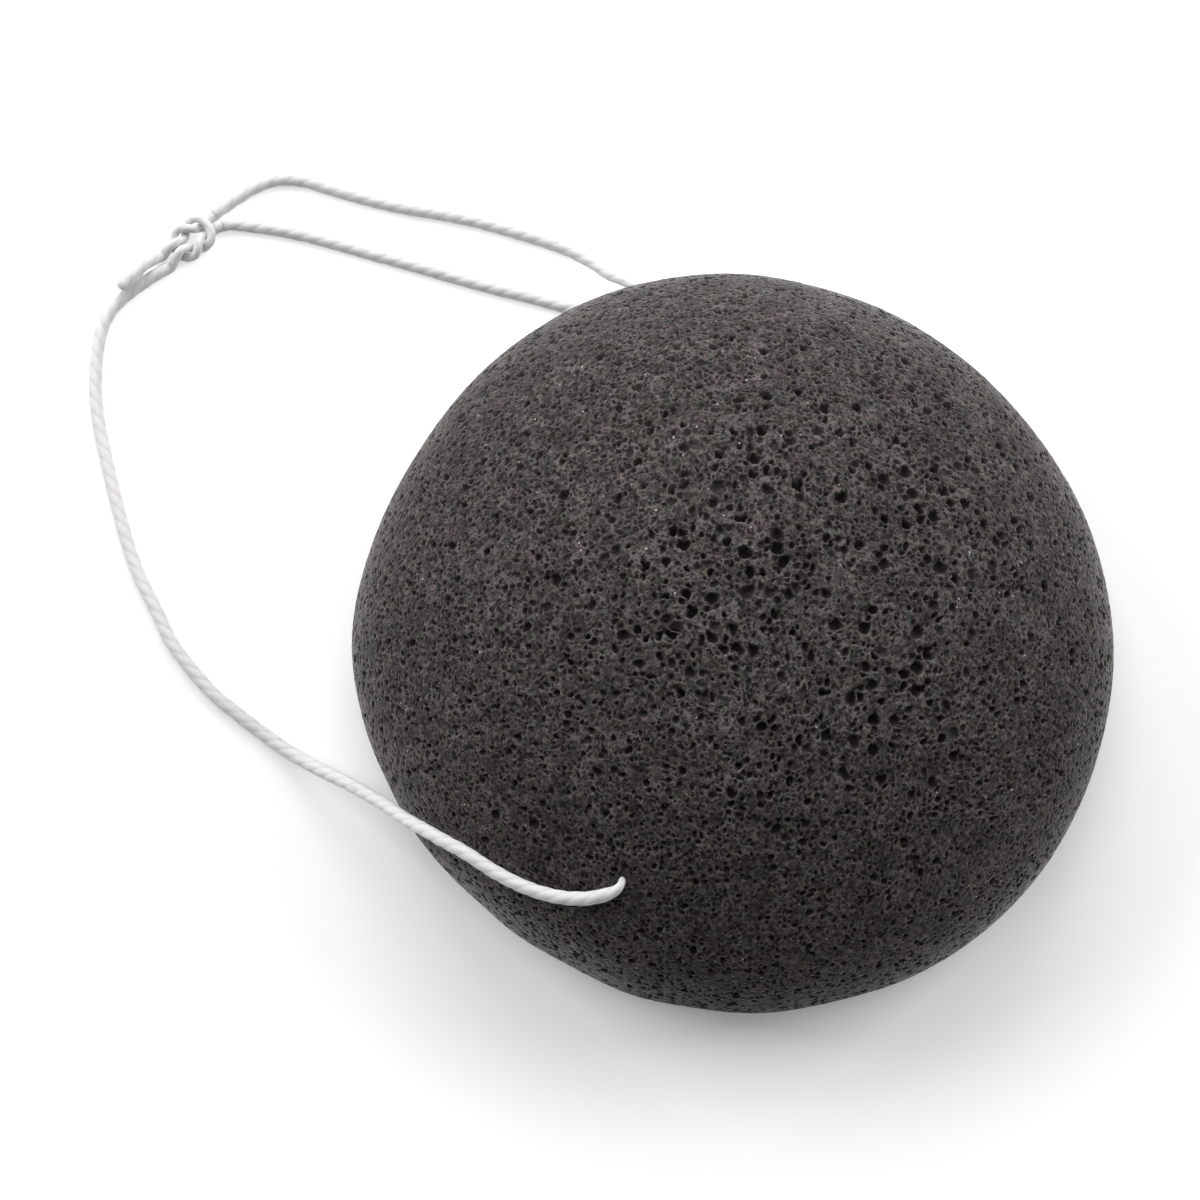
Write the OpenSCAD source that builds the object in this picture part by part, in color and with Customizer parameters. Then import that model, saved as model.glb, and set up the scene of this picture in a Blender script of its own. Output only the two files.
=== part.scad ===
// Half-ball face sponge of konjac foam on a thin cotton string.
// The string is threaded through the foam and its two ends are joined in a small reef knot.
// Millimetres. The origin is the centre of the flat base, with +Z up to the crown.
// -Y is the side that the string comes out of and +Y the side that it goes back into.

/* [Sponge] */
// Diameter across the widest ring
puff_d = 80; // [60:1:110]
// Height from the flat base to the crown
puff_h = 36; // [31:0.5:48]
// Height of the widest ring above the base
belly_h = 7; // [6:0.5:11]
// How far the edge of the flat base lies inside the widest ring
rim_tuck = 4; // [2:0.5:6]
// Radius of the shoulder between the widest ring and the crown
shoulder_r = 20; // [12:0.5:24]

/* [String] */
// Diameter of the twisted cotton string
string_d = 1.5; // [1:0.1:2.2]
// Room round the string in its channel through the foam, on the radius
channel_gap = 0.1; // [0.05:0.05:0.5]
// How much wider the channel's mouth is than the channel, on the radius
mouth_flare = 0.9; // [0.3:0.1:1.5]
// How deep the flared mouth goes along the channel
mouth_depth = 2; // [1.5:0.1:3]
// Direction of the front mouth round the sponge, in degrees from +X
front_mouth_turn = 247.5; // [225:0.5:270]
// Height of the front mouth above the base
front_mouth_h = 23.75; // [10:0.25:30]
// Direction of the back mouth round the sponge, in degrees from +X
back_mouth_turn = 103; // [75:1:130]
// Height of the back mouth above the base
back_mouth_h = 6.5; // [5:0.5:20]

/* [Knot] */
// Diameter of the string where the knot squeezes it
knot_string_d = 1; // [0.8:0.05:1.2]
// Direction of the knot's length, in degrees from +X
knot_turn = 40; // [0:5:90]

/* [Hidden] */

// How far a cut runs past the surface that it leaves
overrun = 2;

// The profile is three arcs, each tangent to the next: the rolled rim, the shoulder and the crown.
puff_r = puff_d / 2;
base_r = puff_r - rim_tuck;
rim_r = (rim_tuck * rim_tuck + belly_h * belly_h) / (2 * rim_tuck);
dome_h = puff_h - belly_h;
crown_r = (puff_r * puff_r + dome_h * dome_h - 2 * puff_r * shoulder_r) / (2 * (dome_h - shoulder_r));
crown_z = puff_h - crown_r;
// The line from the crown's centre through the shoulder's centre meets both arcs where they join.
join_lean = atan2(belly_h - crown_z, puff_r - shoulder_r);
join_r = crown_r * cos(join_lean);
join_z = crown_z + crown_r * sin(join_lean);

// Outer radius of the sponge at a height above its base.
function puff_r_at(z) =
    z < belly_h ? puff_r - rim_r + sqrt(pow(rim_r, 2) - pow(belly_h - z, 2))
    : z < join_z ? puff_r - shoulder_r + sqrt(pow(shoulder_r, 2) - pow(z - belly_h, 2))
    : sqrt(pow(crown_r, 2) - pow(z - crown_z, 2));

// A place on the sponge's outside, by direction and height.
function on_puff(turn, z) = [puff_r_at(z) * cos(turn), puff_r_at(z) * sin(turn), z];

function unit(v) = v / norm(v);

// The channel runs straight from mouth to mouth.
string_r = string_d / 2;
channel_r = string_r + channel_gap;
mouth_r = channel_r + mouth_flare;
front_mouth = on_puff(front_mouth_turn, front_mouth_h);
back_mouth = on_puff(back_mouth_turn, back_mouth_h);
channel_way = unit(back_mouth - front_mouth);
channel_l = norm(back_mouth - front_mouth);
// The held stretch of string ends where each mouth begins to flare.
inner_front = front_mouth + mouth_depth * channel_way;
inner_back = back_mouth - mouth_depth * channel_way;

// Centre line of the string from the front mouth to the knot. It curls out of the foam to the left,
// lies along the shoulder, comes down to the surface that the sponge stands on, and goes round.
front_points = [
    [-12.15, -29.3, 23.85], [-12.5, -29.75, 23.9], [-13.15, -30.1, 23.65], [-14.05, -30.3, 23.25],
    [-15.2, -30.45, 22.65], [-16.7, -30.35, 21.95], [-18.15, -30.15, 21.4], [-19.6, -29.75, 20.9],
    [-22.3, -28.65, 20.1], [-25, -27.1, 19.4], [-27.8, -25.1, 18.55], [-30.3, -23.45, 17.2],
    [-32.4, -21.95, 15.5], [-34.5, -20.3, 13.15], [-36.5, -18.5, 10.8], [-38.9, -16.6, 8.2],
    [-41.5, -14.7, 5.7], [-44.3, -12.9, 3.5], [-47.2, -10.9, 1.7], [-50, -8.8, 0.8],
    [-53, -6.5, 0.75], [-56, -4, 0.75], [-58.3, -1.4, 0.75], [-60.5, 1.5, 0.75],
    [-62.5, 5.5, 0.75], [-64.5, 9.5, 0.75], [-66.1, 14, 0.75], [-67.5, 19, 0.75],
    [-68.65, 23.5, 0.75], [-69.6, 28, 0.75], [-69.9, 32.5, 0.75], [-69.7, 35.6, 0.75],
    [-69.25, 37.85, 0.75], [-68.35, 39.75, 0.75], [-67.05, 41.2, 0.75], [-65.6, 42.4, 0.75],
    [-63.8, 43.75, 0.75]
];
// Centre line from the back mouth to the knot.
back_points = [
    [-9.3, 39.4, 6.2], [-10.2, 40.8, 5.2], [-11.5, 41.9, 4], [-13.3, 43.3, 2.6],
    [-15.3, 45.1, 1.5], [-17.6, 46.6, 0.9], [-20.5, 47.8, 0.75], [-24.2, 49, 0.75],
    [-28, 50.1, 0.75], [-32, 51, 0.75], [-36.5, 51.8, 0.75], [-40.5, 52.8, 0.75],
    [-44.5, 54, 0.75], [-47.5, 54.95, 0.75], [-50.2, 55.1, 0.75], [-53, 54.05, 0.75],
    [-54.8, 52.85, 0.75], [-56.05, 51.95, 0.75]
];
// Centre line of the short tail, from the knot up onto the front stretch and along it.
tail_short_points = [
    [-63.55, 45.75, 1.05], [-64.65, 44.75, 1.8], [-66, 43.2, 2.2], [-67.4, 41.75, 2.25]
];
// Centre line of the long tail, from the knot to its end, which is tucked in under the rolled rim.
tail_long_points = [
    [-55.5, 49.85, 0.75], [-54.35, 49.75, 0.75], [-52.6, 49.5, 0.75], [-50, 49.1, 0.75],
    [-46.5, 48.3, 0.75], [-42.5, 47.15, 0.75], [-38.5, 45.95, 0.75], [-34.3, 44.7, 0.75],
    [-30, 43.4, 0.75], [-25.5, 42.1, 0.75], [-22, 41.2, 0.75], [-18.5, 40.2, 0.75],
    [-15, 39.3, 0.75], [-11.5, 38.3, 0.75]
];

// The knot is two bights that hold each other. One half of a bight, in diameters of the squeezed
// string, from its nose to where its leg leaves the knot. The other half is its mirror image in Y,
// and the other bight is the same one turned over and end for end.
knot_place = [-59.6, 48];
half_bight_shares = [
    [2.2, 0, 0.62], [2.05, 0.85, 0.6], [1.45, 1.6, 0.4], [0.7, 1.75, -0.2],
    [0, 1.3, -0.66], [-0.6, 0.72, -0.46], [-1.15, 0.56, 0.1], [-1.7, 0.56, 0.6],
    [-2.25, 0.58, 0.68], [-2.95, 0.7, 0.5], [-3.6, 0.8, 0.15]
];
// How far the string has swelled back to its full diameter at each of those places, and how far
// it has come down to lie on the standing surface.
swell_shares = [0, 0, 0, 0, 0, 0, 0, 0, 0, 0.4, 1];
// Height of the knot's middle above the standing surface, in the same diameters.
knot_lift_share = 1.18;

string_sides = 8;

// The route of a half bight, moved to the knot's place. leg is 1 or -1 for the leg's side, and
// bight is 1 for the front string's bight and -1 for the back string's.
function leg_points(leg, bight) = [
    for (i = [0 : len(half_bight_shares) - 1])
        let (
            p = half_bight_shares[i] * knot_string_d,
            x = bight * p.x,
            y = leg * p.y,
            knot_z = knot_lift_share * knot_string_d + bight * p.z
        )
        [
            knot_place.x + x * cos(knot_turn) - y * sin(knot_turn),
            knot_place.y + x * sin(knot_turn) + y * cos(knot_turn),
            knot_z + swell_shares[i] * (string_r - knot_z)
        ]
];

function swelled_d(i) = knot_string_d + swell_shares[i] * (string_d - knot_string_d);

function swelled_radii() = [for (i = [0 : len(half_bight_shares) - 1]) swelled_d(i) / 2];

function reversed(list) = [for (i = [len(list) - 1 : -1 : 0]) list[i]];

function all_but_first(list) = [for (i = [1 : len(list) - 1]) list[i]];

function last_of(list) = list[len(list) - 1];

// Where a leg leaves the knot.
function leg_end(leg, bight) = last_of(leg_points(leg, bight));

// The next point of the string beyond a leg's end.
function beyond_leg(leg, bight) =
    bight == 1
        ? (leg == -1 ? last_of(front_points) : tail_short_points[0])
        : (leg == 1 ? last_of(back_points) : tail_long_points[0]);

// The way that the string points, outwards, where a leg leaves the knot.
function leg_way(leg, bight) =
    let (p = leg_points(leg, bight)) unit(beyond_leg(leg, bight) - p[len(p) - 2]);

// The way that a tail's free end points.
function end_way(p) = unit(last_of(p) - p[len(p) - 2]);

// The way a line points at each of its points. The ways at its ends are given, because a tube
// ends square to the stretch that carries it on.
function ways(p, first_way, last_way) = concat(
    [first_way],
    [for (i = [1 : len(p) - 2]) unit(p[i + 1] - p[i - 1])],
    [last_way]
);

// A direction across each way, carried along so that the tube doesn't twist.
function carried(w, across, i = 0) =
    i == len(w) ? []
    : let (a = unit(across - (across * w[i]) * w[i])) concat([a], carried(w, a, i + 1));

// A tube along points p with a radius at each, closed at both ends by flat faces.
module tube(p, radii, first_way, last_way) {
    w = ways(p, first_way, last_way);
    up = carried(w, abs(w[0].z) < 0.9 ? [0, 0, 1] : [1, 0, 0]);
    n = string_sides;
    rings = [
        for (i = [0 : len(p) - 1])
            let (side = cross(w[i], up[i]))
            for (k = [0 : n - 1])
                let (a = 360 * (k + 0.5) / n)
                p[i] + radii[i] * (cos(a) * up[i] + sin(a) * side)
    ];
    walls = [
        for (i = [0 : len(p) - 2], k = [0 : n - 1], half = [0, 1])
            let (
                a = i * n + k,
                b = i * n + (k + 1) % n
            )
            half == 0 ? [a, b + n, b] : [a, a + n, b + n]
    ];
    first_end = [for (k = [1 : n - 2]) [0, k, k + 1]];
    o = (len(p) - 1) * n;
    last_end = [for (k = [1 : n - 2]) [o, o + k + 1, o + k]];
    polyhedron(points = rings, faces = concat(walls, first_end, last_end), convexity = 6);
}

module even_tube(p, first_way, last_way) {
    tube(p, [for (q = p) string_r], first_way, last_way);
}

// Half of the sponge's outline: the arcs as parts of circles, filled in to the axis.
module puff_outline() {
    $fn = 180;
    // the crown, above the line from its centre to the joint
    intersection() {
        translate([0, crown_z]) circle(r = crown_r);
        polygon([[0, join_z], [join_r, join_z], [join_r, puff_h + overrun], [0, puff_h + overrun]]);
    }
    // the shoulder, from the widest ring up to the joint
    intersection() {
        translate([puff_r - shoulder_r, belly_h]) circle(r = shoulder_r);
        polygon([
            [puff_r - shoulder_r, belly_h], [puff_r + overrun, belly_h],
            [puff_r + overrun, join_z], [puff_r - shoulder_r, join_z]
        ]);
    }
    // the rolled rim, from the base up to the widest ring
    intersection() {
        translate([puff_r - rim_r, belly_h]) circle(r = rim_r);
        polygon([
            [puff_r - rim_r, 0], [puff_r + overrun, 0],
            [puff_r + overrun, belly_h], [puff_r - rim_r, belly_h]
        ]);
    }
    polygon([
        [0, 0], [puff_r - rim_r, 0], [puff_r - rim_r, belly_h],
        [puff_r - shoulder_r, belly_h], [puff_r - shoulder_r, join_z], [0, join_z]
    ]);
}

// Lays its children, which stand along +Z at the origin, along a way from a place.
module laid(place, way) {
    translate(place)
        rotate([0, acos(way.z), atan2(way.y, way.x)])
            children();
}

// What is cut away for the string: the channel and its two flared mouths.
module string_channel() {
    laid(front_mouth - overrun * channel_way, channel_way)
        cylinder(r = channel_r, h = channel_l + 2 * overrun, $fn = 32);
    for (end = [[inner_front, -channel_way], [inner_back, channel_way]])
        laid(end[0], end[1])
            cylinder(r1 = channel_r, r2 = channel_r + 2 * mouth_flare, h = 2 * mouth_depth, $fn = 32);
}

module sponge_body() {
    color([0.25, 0.24, 0.24])
        difference() {
            rotate_extrude($fn = 180) puff_outline();
            string_channel();
        }
}

module string_inner() {
    color([0.9, 0.89, 0.87])
        laid(inner_front, channel_way)
            cylinder(r = string_r, h = norm(inner_back - inner_front), $fn = 32);
}

module string_front() {
    color([0.95, 0.94, 0.93])
        even_tube(
            concat([inner_front], front_points, [leg_end(-1, 1)]),
            -channel_way, -leg_way(-1, 1)
        );
}

module string_back() {
    color([0.95, 0.94, 0.93])
        even_tube(
            concat([inner_back], back_points, [leg_end(1, -1)]),
            channel_way, -leg_way(1, -1)
        );
}

// One bight of the knot: in along one leg, round the nose and out along the other leg.
module knot_bight(bight) {
    radii = concat(reversed(swelled_radii()), all_but_first(swelled_radii()));
    color([0.93, 0.92, 0.9])
        tube(
            concat(reversed(leg_points(-1, bight)), all_but_first(leg_points(1, bight))),
            radii, -leg_way(-1, bight), leg_way(1, bight)
        );
}

module knot_front_bight() {
    knot_bight(1);
}

module knot_back_bight() {
    knot_bight(-1);
}

module string_tail_short() {
    color([0.95, 0.94, 0.93])
        even_tube(
            concat([leg_end(1, 1)], tail_short_points),
            leg_way(1, 1), end_way(tail_short_points)
        );
}

module string_tail_long() {
    color([0.95, 0.94, 0.93])
        even_tube(
            concat([leg_end(-1, -1)], tail_long_points),
            leg_way(-1, -1), end_way(tail_long_points)
        );
}

sponge_body();
string_inner();
string_front();
string_back();
knot_front_bight();
knot_back_bight();
string_tail_short();
string_tail_long();
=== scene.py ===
"""Half-ball face sponge of charcoal konjac foam on a thin cotton string.

Lengths are in metres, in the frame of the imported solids: the origin is the centre of the flat
base and +Z goes up to the crown.
"""

import math

import bpy
import numpy as np
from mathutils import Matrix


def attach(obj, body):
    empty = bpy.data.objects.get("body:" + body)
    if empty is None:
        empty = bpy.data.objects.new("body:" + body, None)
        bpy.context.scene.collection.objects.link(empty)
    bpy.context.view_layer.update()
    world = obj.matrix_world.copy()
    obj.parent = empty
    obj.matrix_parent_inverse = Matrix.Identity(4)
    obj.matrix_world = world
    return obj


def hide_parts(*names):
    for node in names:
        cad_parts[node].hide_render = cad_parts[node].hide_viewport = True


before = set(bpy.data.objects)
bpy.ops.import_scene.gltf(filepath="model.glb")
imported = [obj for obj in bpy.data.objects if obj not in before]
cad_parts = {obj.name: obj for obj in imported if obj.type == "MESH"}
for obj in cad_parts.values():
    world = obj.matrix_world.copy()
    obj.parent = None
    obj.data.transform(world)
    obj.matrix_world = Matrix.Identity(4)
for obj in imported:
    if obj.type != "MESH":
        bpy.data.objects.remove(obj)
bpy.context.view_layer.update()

MM = 0.001
UP = np.array([0.0, 0.0, 1.0])
# Least height of what lies on the ground
GROUND_CLEAR = 0.02 * MM


# Camera

CAMERA_PLACE = (-14.27 * MM, -101.3 * MM, 401.97 * MM)
CAMERA_ELEVATION = 74.967
CAMERA_LENS = 114.875
CAMERA_SENSOR = 36


def add_camera():
    """The photograph's view: down at the crown from the front, with a long lens."""
    data = bpy.data.cameras.new("camera")
    data.sensor_width = CAMERA_SENSOR
    data.lens = CAMERA_LENS
    camera = bpy.data.objects.new("camera", data)
    camera.location = CAMERA_PLACE
    camera.rotation_euler = (math.radians(90 - CAMERA_ELEVATION), 0, 0)
    bpy.context.scene.collection.objects.link(camera)
    bpy.context.scene.camera = camera


add_camera()


# Meshes

def add_mesh(name, places, faces, flat=0):
    """A mesh object from an array of places and a list of arrays of faces, each n by 3 or 4. The
    last faces are flat, as many as flat says, and the others smooth."""
    mesh = bpy.data.meshes.new(name)
    corners = np.concatenate([f.ravel() for f in faces])
    sizes = np.concatenate([np.full(len(f), f.shape[1]) for f in faces])
    starts = np.concatenate([[0], np.cumsum(sizes)[:-1]])
    mesh.vertices.add(len(places))
    mesh.vertices.foreach_set("co", places.astype(np.float32).ravel())
    mesh.loops.add(len(corners))
    mesh.loops.foreach_set("vertex_index", corners.astype(np.int32))
    mesh.polygons.add(len(sizes))
    mesh.polygons.foreach_set("loop_start", starts.astype(np.int32))
    mesh.update(calc_edges=True)
    mesh.polygons.foreach_set("use_smooth", np.arange(len(sizes)) < len(sizes) - flat)
    mesh.update()
    piece = bpy.data.objects.new(name, mesh)
    bpy.context.scene.collection.objects.link(piece)
    return piece


def add_attribute(piece, name, values):
    """A number at each vertex, which a material reads by its name."""
    layer = piece.data.attributes.new(name, "FLOAT", "POINT")
    layer.data.foreach_set("value", values.astype(np.float32))


def add_uv(piece, name, places):
    """A UV map from a place for each corner of each face."""
    layer = piece.data.uv_layers.new(name=name)
    layer.data.foreach_set("uv", places.astype(np.float32).ravel())


def unit(vectors):
    """The vectors at length 1."""
    return vectors / np.linalg.norm(vectors, axis=-1, keepdims=True)


def ramp(values, low, high):
    """0 below low and 1 above high, with a smooth rise between them."""
    t = np.clip((values - low) / (high - low), 0, 1)
    return t * t * (3 - 2 * t)


def joined_rows(upper, lower):
    """Faces between two closed rows with as many vertices each, facing out from the axis."""
    return np.stack([upper, lower, np.roll(lower, -1), np.roll(upper, -1)], -1)


# Random numbers on a lattice

HASH_STEPS = (0x8DA6B343, 0xD8163841, 0xCB1AB31F, 0x9E3779B1)
HASH_MIX = (0x7FEB352D, 0x846CA68B)
HASH_SHIFTS = (16, 15, 16)
HASH_RANGE = 2.0 ** 32


def lattice_random(cells, salt):
    """A number from 0 to 1 for each whole-number cell, always the same for the same cell and salt.
    Each coordinate is multiplied by a large odd number, and the sum is mixed by shifts and products.
    """
    steps = [np.uint32(step) for step in HASH_STEPS]
    whole = cells.astype(np.int64).astype(np.uint32)
    mixed = whole[..., 0] * steps[0]
    mixed ^= whole[..., 1] * steps[1]
    mixed ^= whole[..., 2] * steps[2]
    mixed ^= np.uint32((salt * HASH_STEPS[3]) & 0xFFFFFFFF)
    mixed ^= mixed >> np.uint32(HASH_SHIFTS[0])
    mixed *= np.uint32(HASH_MIX[0])
    mixed ^= mixed >> np.uint32(HASH_SHIFTS[1])
    mixed *= np.uint32(HASH_MIX[1])
    mixed ^= mixed >> np.uint32(HASH_SHIFTS[2])
    return mixed.astype(np.float32) / np.float32(HASH_RANGE)


def smooth_noise(places, size, salt):
    """Noise from -1 to 1 whose hills are about size across: random values at the corners of cubes
    of that size, blended smoothly between them."""
    scaled = places / size
    cells = np.floor(scaled)
    t = scaled - cells
    t = t * t * (3 - 2 * t)
    total = np.zeros(places.shape[:-1])
    for corner in np.ndindex(2, 2, 2):
        weight = np.prod(np.where(corner, t, 1 - t), axis=-1)
        total += weight * lattice_random(cells + corner, salt)
    return 2 * total - 1


# String

STRING_D = 1.5 * MM
KNOT_STRING_D = 1.0 * MM
# Shares of its thickness to which the foam squeezes the string, at its first points
MOUTH_SQUEEZE = np.array([0.5, 0.54, 0.7, 0.87])
# The string's centre line in millimetres, as its solids have it: from where it is held in the foam
# at the front, out of the front mouth, down off the shoulder and round to the knot
FRONT_POINTS = [
    (-11.98, -27.2, 23.26), (-12.15, -29.3, 23.85), (-12.5, -29.75, 23.9), (-13.15, -30.1, 23.65),
    (-14.05, -30.3, 23.25), (-15.2, -30.45, 22.65), (-16.7, -30.35, 21.95), (-18.15, -30.15, 21.4),
    (-19.6, -29.75, 20.9), (-22.3, -28.65, 20.1), (-25, -27.1, 19.4), (-27.8, -25.1, 18.55),
    (-30.3, -23.45, 17.2), (-32.4, -21.95, 15.5), (-34.5, -20.3, 13.15), (-36.5, -18.5, 10.8),
    (-38.9, -16.6, 8.2), (-41.5, -14.7, 5.7), (-44.3, -12.9, 3.5), (-47.2, -10.9, 1.7),
    (-50, -8.8, 0.8), (-53, -6.5, 0.75), (-56, -4, 0.75), (-58.3, -1.4, 0.75),
    (-60.5, 1.5, 0.75), (-62.5, 5.5, 0.75), (-64.5, 9.5, 0.75), (-66.1, 14, 0.75),
    (-67.5, 19, 0.75), (-68.65, 23.5, 0.75), (-69.6, 28, 0.75), (-69.9, 32.5, 0.75),
    (-69.7, 35.6, 0.75), (-69.25, 37.85, 0.75), (-68.35, 39.75, 0.75), (-67.05, 41.2, 0.75),
    (-65.6, 42.4, 0.75), (-63.8, 43.75, 0.75),
]
# From where it is held in the foam at the back, out of the back mouth and along to the knot
BACK_POINTS = [
    (-9.08, 37.02, 6.99), (-9.3, 39.4, 6.2), (-10.2, 40.8, 5.2), (-11.5, 41.9, 4),
    (-13.3, 43.3, 2.6), (-15.3, 45.1, 1.5), (-17.6, 46.6, 0.9), (-20.5, 47.8, 0.75),
    (-24.2, 49, 0.75), (-28, 50.1, 0.75), (-32, 51, 0.75), (-36.5, 51.8, 0.75),
    (-40.5, 52.8, 0.75), (-44.5, 54, 0.75), (-47.5, 54.95, 0.75), (-50.2, 55.1, 0.75),
    (-53, 54.05, 0.75), (-54.8, 52.85, 0.75), (-56.05, 51.95, 0.75),
]
TAIL_SHORT_POINTS = [
    (-63.55, 45.75, 1.05), (-64.65, 44.75, 1.8), (-66, 43.2, 2.2), (-67.4, 41.75, 2.25),
]
TAIL_LONG_POINTS = [
    (-55.5, 49.85, 0.75), (-54.35, 49.75, 0.75), (-52.6, 49.5, 0.75), (-50, 49.1, 0.75),
    (-46.5, 48.3, 0.75), (-42.5, 47.15, 0.75), (-38.5, 45.95, 0.75), (-34.3, 44.7, 0.75),
    (-30, 43.4, 0.75), (-25.5, 42.1, 0.75), (-22, 41.2, 0.75), (-18.5, 40.2, 0.75),
    (-15, 39.3, 0.75), (-11.5, 38.3, 0.75),
]
# Half a bight of the knot in diameters of the squeezed string, from its nose to its leg's end
KNOT_PLACE = (-59.6, 48)
KNOT_TURN = math.radians(40)
KNOT_LIFT = 1.18
HALF_BIGHT = np.array([
    (2.2, 0, 0.62), (2.05, 0.85, 0.6), (1.45, 1.6, 0.4), (0.7, 1.75, -0.2),
    (0, 1.3, -0.66), (-0.6, 0.72, -0.46), (-1.15, 0.56, 0.1), (-1.7, 0.56, 0.6),
    (-2.25, 0.58, 0.68), (-2.95, 0.7, 0.5), (-3.6, 0.8, 0.15),
])
# How far the string has swelled to its full thickness again, and come down, at each of those
SWELL = np.array([0, 0, 0, 0, 0, 0, 0, 0, 0, 0.4, 1])


def bight_leg(leg, bight):
    """One leg of a bight in millimetres, from the nose out: the half bight, turned over for the back
    string and mirrored for the other leg, blended down to the lying string as it swells."""
    shares = HALF_BIGHT * (bight, leg, bight) * (KNOT_STRING_D / MM)
    lifted = KNOT_LIFT * KNOT_STRING_D / MM + shares[:, 2]
    z = lifted + SWELL * (STRING_D / 2 / MM - lifted)
    c, s = math.cos(KNOT_TURN), math.sin(KNOT_TURN)
    x = KNOT_PLACE[0] + shares[:, 0] * c - shares[:, 1] * s
    y = KNOT_PLACE[1] + shares[:, 0] * s + shares[:, 1] * c
    return np.stack([x, y, z], -1)


# Way between two steps of a string's line, and between the places from which they are measured out
LINE_STEP = 0.15 * MM
FINE_STEP = 0.2 * LINE_STEP
# Times that each place on the line is averaged with its neighbours, which eases its tight bends
BEND_SOFTENING = 8


def smooth_line(points, thickness):
    """A line through the points, the thickness along it and the length up to each of its places, at
    even steps. Between two points it is the cubic whose slopes there are those of the chords across
    them. Its places are then averaged with their neighbours."""
    points = np.asarray(points, float)
    chords = np.linalg.norm(np.diff(points, axis=0), axis=1)
    at = np.concatenate([[0], np.cumsum(chords)])
    slopes = np.gradient(points, at, axis=0)
    fine = np.linspace(0, at[-1], int(at[-1] / FINE_STEP))
    k = np.clip(np.searchsorted(at, fine, side="right") - 1, 0, len(chords) - 1)
    t = ((fine - at[k]) / chords[k])[:, None]
    width = chords[k][:, None]
    line = ((2 * t**3 - 3 * t**2 + 1) * points[k] + (t**3 - 2 * t**2 + t) * width * slopes[k]
            + (3 * t**2 - 2 * t**3) * points[k + 1] + (t**3 - t**2) * width * slopes[k + 1])
    grown = np.concatenate([[0], np.cumsum(np.linalg.norm(np.diff(line, axis=0), axis=1))])
    even = np.linspace(0, grown[-1], int(grown[-1] / LINE_STEP) + 1)
    line = np.stack([np.interp(even, grown, line[:, c]) for c in range(3)], -1)
    for _ in range(BEND_SOFTENING):
        line[1:-1] = (line[:-2] + 2 * line[1:-1] + line[2:]) / 4
    thick = np.interp(np.interp(even, grown, fine), at, thickness)
    return line, thick, even


def across(line):
    """The line's way at each place, and the two directions square to it, the first of them level."""
    way = unit(np.gradient(line, axis=0))
    side = unit(np.cross(way, UP))
    return way, side, np.cross(side, way)


# Share of its width at which the soft string's skin lies, within its loose fibres
SOFT_SHARE = 0.97
# Plies, the length in which they make a whole turn, and the depth and narrowness of their grooves
PLIES = 3
PLY_TURN = 5.4 * MM
PLY_GROOVE = 0.09
GROOVE_NARROWNESS = 1.4
YARN_RIDGES = 21.6
YARN_GROOVE = 0.025
STRING_SIDES = 54
# Noise on the skin: height, size and salt
SKIN_NOISE = ((0.02 * MM, 0.5 * MM, 60), (0.012 * MM, 0.16 * MM, 61))


def string_skin(line, thick, even):
    """The twisted string's skin and how deep in a groove each of its places is, from 0 to 1. The skin
    is rings round the line, whose radius has a bulge for each ply, the cosine of the turn's share,
    and small ridges for its yarns. Both turn with the length, and noise makes the thickness uneven.
    """
    way, side, above = across(line)
    turn = np.arange(STRING_SIDES) / STRING_SIDES * 2 * math.pi
    twist = turn[None] - even[:, None] / PLY_TURN * 2 * math.pi
    bulge = np.abs(np.cos(twist * PLIES / 2))
    ridge = np.abs(np.cos(twist * YARN_RIDGES / 2))
    grooved = PLY_GROOVE * (1 - bulge) ** GROOVE_NARROWNESS + YARN_GROOVE * ridge
    radius = thick[:, None] / 2 * (SOFT_SHARE - grooved)
    ring = np.cos(turn)[None, :, None] * side[:, None] + np.sin(turn)[None, :, None] * above[:, None]
    skin = line[:, None] + radius[..., None] * ring
    uneven = sum(height * smooth_noise(skin, size, salt) for height, size, salt in SKIN_NOISE)
    skin += uneven[..., None] * ring
    skin[..., 2] = np.maximum(skin[..., 2], GROUND_CLEAR)
    return skin, 1 - bulge


def add_tube(name, skin, groove):
    """A closed tube from its rings, with a centre point in each end."""
    rings, sides = skin.shape[:2]
    ends = np.stack([skin[0].mean(0), skin[-1].mean(0)])
    places = np.concatenate([skin.reshape(-1, 3), ends])
    ids = np.arange(rings * sides).reshape(rings, sides)
    walls = np.concatenate([joined_rows(a, b) for a, b in zip(ids[:-1], ids[1:])])
    first = np.stack([np.full(sides, rings * sides), ids[0], np.roll(ids[0], -1)], -1)
    last = np.stack([np.full(sides, rings * sides + 1), np.roll(ids[-1], -1), ids[-1]], -1)
    piece = add_mesh(name, places, [walls, first, last], flat=2 * sides)
    add_attribute(piece, "groove", np.concatenate([groove.ravel(), [0, 0]]))
    return piece


# Length over which a cut end rounds off, and how far it closes
END_ROUNDING = 0.7 * MM
END_CLOSING = 0.85


def strand_line(points, legs, tail):
    """The whole line of one string, from where the foam holds it through its bight to the end of its
    tail, with its thickness and lengths. Over END_ROUNDING the tail closes along an arc."""
    first_leg, last_leg = legs
    line = np.concatenate([points, first_leg[::-1], last_leg[1:], tail]) * MM
    legs_thick = KNOT_STRING_D + SWELL * (STRING_D - KNOT_STRING_D)
    free = len(points) - len(MOUTH_SQUEEZE)
    thick = np.concatenate([STRING_D * MOUTH_SQUEEZE, np.full(free, STRING_D), legs_thick[::-1],
                            legs_thick[1:], np.full(len(tail), STRING_D)])
    line, thick, even = smooth_line(line, thick)
    to_end = np.clip((even[-1] - even) / END_ROUNDING, 0, 1)
    return line, thick * np.sqrt(1 - END_CLOSING * (1 - to_end) ** 2), even


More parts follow.
